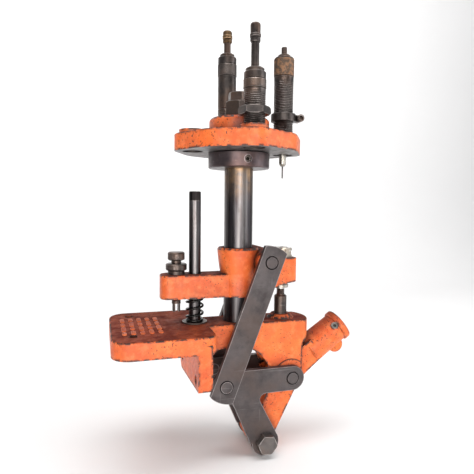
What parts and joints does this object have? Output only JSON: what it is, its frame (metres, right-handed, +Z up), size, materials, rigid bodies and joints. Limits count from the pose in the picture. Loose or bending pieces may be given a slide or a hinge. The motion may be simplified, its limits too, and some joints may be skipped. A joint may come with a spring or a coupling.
{
  "type": "turret bench press",
  "caption": "Lever-operated bench press with a sliding carrier on a round column, toggle links and a rotating turret that holds threaded tool dies.",
  "frame": {"origin": "middle of the flat seat under the bench plate, which rests on the bench", "axes": "+Z up along the column, +X towards the operator and the lever's socket, +Y to the side of the back die"},
  "size_m": [0.2793, 0.143, 0.4848],
  "materials": {
    "orange_paint": "worn orange enamel over rough cast iron",
    "polished_steel": "ground steel shaft, oily and streaked",
    "link_steel": "flat bar steel, browned and scratched",
    "black_oxide": "black-brown oxide finish",
    "collar_steel": "dark turned steel",
    "bright_steel": "bright machined steel",
    "spring_steel": "oiled spring wire",
    "brass_knob": "tarnished brass",
    "bolt_steel": "plain steel bolt"
  },
  "bodies": {
    "base": {"base_casting": "orange_paint", "column": "polished_steel", "turret_collar": "collar_steel", "collar_set_screw": "black_oxide", "index_ball": "bright_steel", "index_spring": "spring_steel", "guide_rod": "polished_steel", "spring_washer": "black_oxide", "bumper_spring": "spring_steel", "punch_post": "black_oxide", "turret_nut": "black_oxide", "turret_jam_nut": "black_oxide"},
    "carrier": {"carrier_casting": "orange_paint", "link_cross_pin": "link_steel", "work_holder": "bright_steel", "holder_ring": "bright_steel", "screw_lock_ring": "black_oxide"},
    "thumb_screw": {"thumb_screw": "black_oxide"},
    "links": {"link_near": "link_steel", "link_far": "link_steel", "link_pin_near": "link_steel", "link_pin_far": "link_steel"},
    "lever": {"lever_casting": "orange_paint", "lever_pivot_pin": "link_steel", "toggle_bolt": "bolt_steel", "toggle_nut": "bolt_steel", "socket_set_screw": "bolt_steel", "toggle_pin_ends": "link_steel", "toggle_plate_near": "link_steel", "toggle_plate_far": "link_steel"},
    "turret": {"turret_head": "orange_paint", "front_die_body": "black_oxide", "front_die_cap": "black_oxide", "front_lock_ring": "black_oxide", "back_die_body": "black_oxide", "back_die_cap": "black_oxide", "back_lock_ring": "black_oxide", "right_die_body": "black_oxide", "right_die_cap": "black_oxide", "right_lock_ring": "black_oxide", "ring_clamp_screw": "black_oxide"},
    "front_stem": {"front_stem": "black_oxide", "front_stem_knob": "black_oxide"},
    "back_stem": {"back_stem": "black_oxide", "back_stem_knob": "brass_knob"},
    "right_stem": {"right_stem": "black_oxide", "pin_chuck": "bright_steel", "knockout_pin": "bright_steel"}
  },
  "joints": [
    {"name": "lever_swing", "type": "hinge", "parent": "base", "child": "lever", "pos_m": [0.1556, 0, -0.046], "axis": [0, 1, 0], "range_deg": [0, 82.33]},
    {"name": "carrier_slide", "type": "slide", "parent": "base", "child": "carrier", "axis": [0, 0, 1], "range_m": [0, 0.08535]},
    {"name": "link_swing", "type": "hinge", "parent": "carrier", "child": "links", "pos_m": [0.1264, 0, 0.0855], "axis": [0, 1, 0], "range_deg": [-28.18, 0]},
    {"name": "turret_turn", "type": "hinge", "parent": "base", "child": "turret", "pos_m": [0.0986, 0, 0.204], "axis": [0, 0, 1], "continuous": true},
    {"name": "thumb_screw_turn", "type": "hinge", "parent": "carrier", "child": "thumb_screw", "pos_m": [0.029, 0, 0.06], "axis": [0, 0, 1], "continuous": true},
    {"name": "front_stem_turn", "type": "hinge", "parent": "turret", "child": "front_stem", "pos_m": [0.0986, -0.052, 0.3], "axis": [0, 0, 1], "continuous": true},
    {"name": "back_stem_turn", "type": "hinge", "parent": "turret", "child": "back_stem", "pos_m": [0.0986, 0.052, 0.3], "axis": [0, 0, 1], "continuous": true},
    {"name": "right_stem_turn", "type": "hinge", "parent": "turret", "child": "right_stem", "pos_m": [0.1506, 0, 0.3], "axis": [0, 0, 1], "continuous": true}
  ],
  "couplings": [
    {"joint": "carrier_slide", "follows": "lever_swing", "m_per_rad": 0.059394},
    {"joint": "link_swing", "follows": "lever_swing", "ratio": -0.34231}
  ]
}
